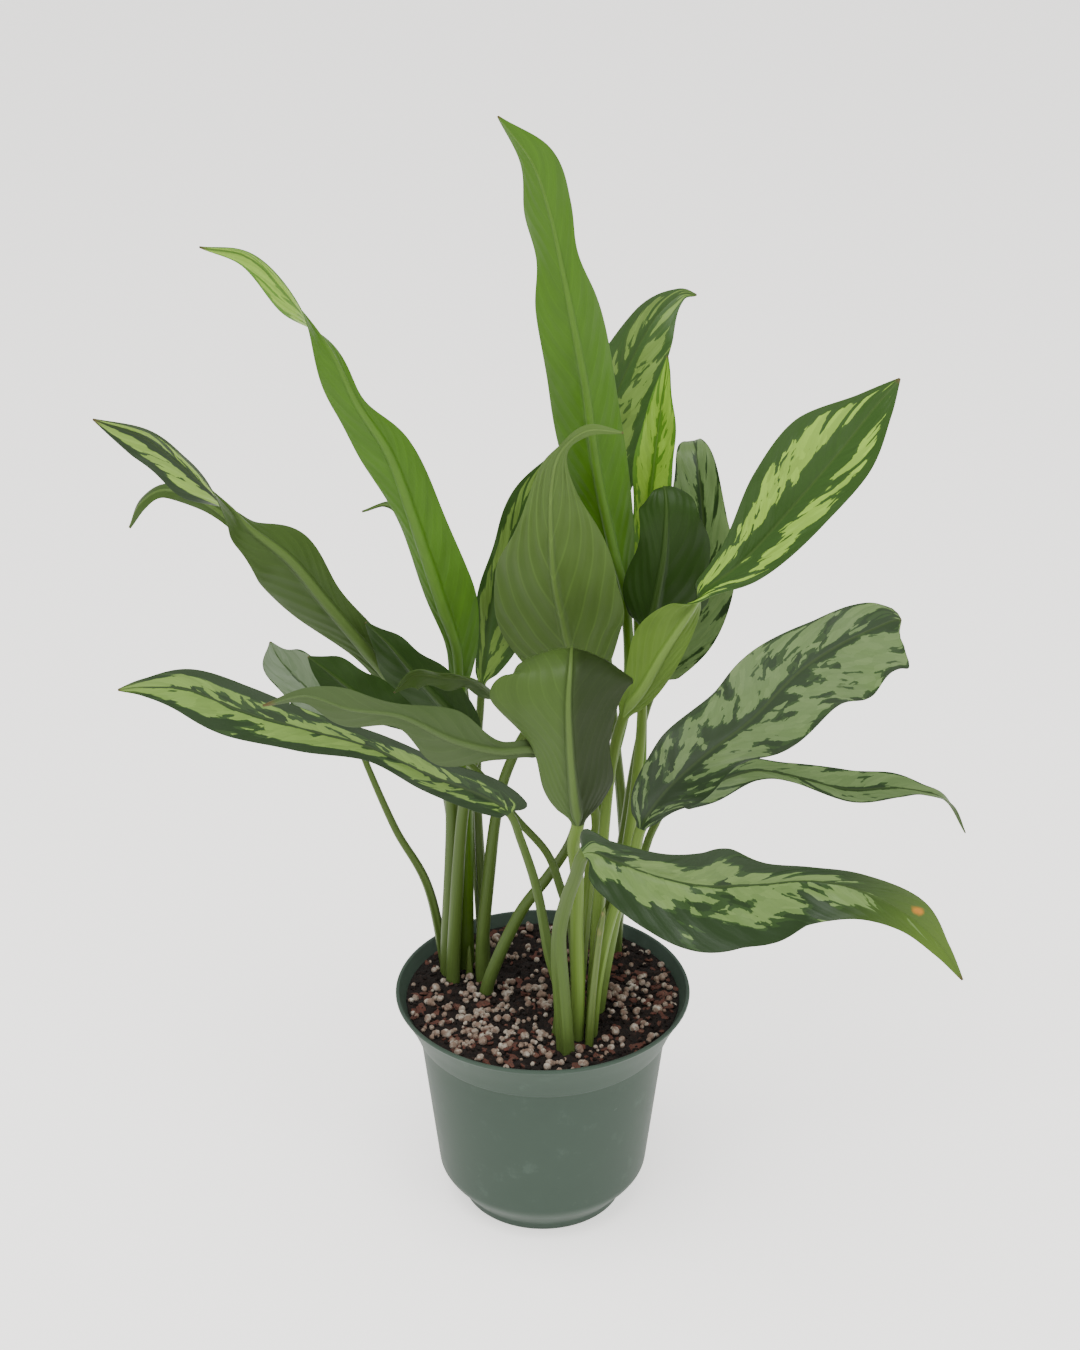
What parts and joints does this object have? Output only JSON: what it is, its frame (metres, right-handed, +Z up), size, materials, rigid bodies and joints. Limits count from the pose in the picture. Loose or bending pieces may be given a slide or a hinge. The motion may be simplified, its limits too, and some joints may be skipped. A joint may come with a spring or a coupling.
{
  "type": "potted chinese evergreen",
  "caption": "Potted Chinese evergreen: variegated lance-shaped leaves on long stalks, rising from potting mix with perlite in a tapered nursery pot with a flared rim.",
  "frame": {"origin": "centre of the pot's base, on the plane it stands on", "axes": "+Z up; -Y towards the front, as the picture sees it; +X to the right seen from the front"},
  "size_m": [0.441, 0.236, 0.6003],
  "materials": {
    "pot": "moulded dusty green plastic, slight sheen",
    "potting_mix": null,
    "leaf": null,
    "young_leaf": null,
    "sheath": null
  },
  "bodies": {
    "root": {"pot": "pot", "potting_mix": "potting_mix", "leaf_crown": "young_leaf", "leaf_left_tall": "young_leaf", "leaf_left_upper": "leaf", "leaf_left_hook": "leaf", "leaf_left_low": "leaf", "leaf_left_front": "leaf", "leaf_left_pale": "leaf", "leaf_left_pointed": "leaf", "leaf_left_curl": "leaf", "leaf_left_inner": "leaf", "leaf_centre": "leaf", "leaf_front_folded": "leaf", "leaf_dark_upright": "leaf", "leaf_behind_centre": "leaf", "leaf_back_upper": "leaf", "leaf_young_rolled": "young_leaf", "leaf_back_arched": "leaf", "leaf_right_upper": "leaf", "leaf_right_wavy": "leaf", "leaf_right_thin": "leaf", "leaf_right_low": "leaf", "leaf_back_hook": "leaf", "sheath_right": "sheath", "sheath_left": "sheath"}
  },
  "joints": []
}
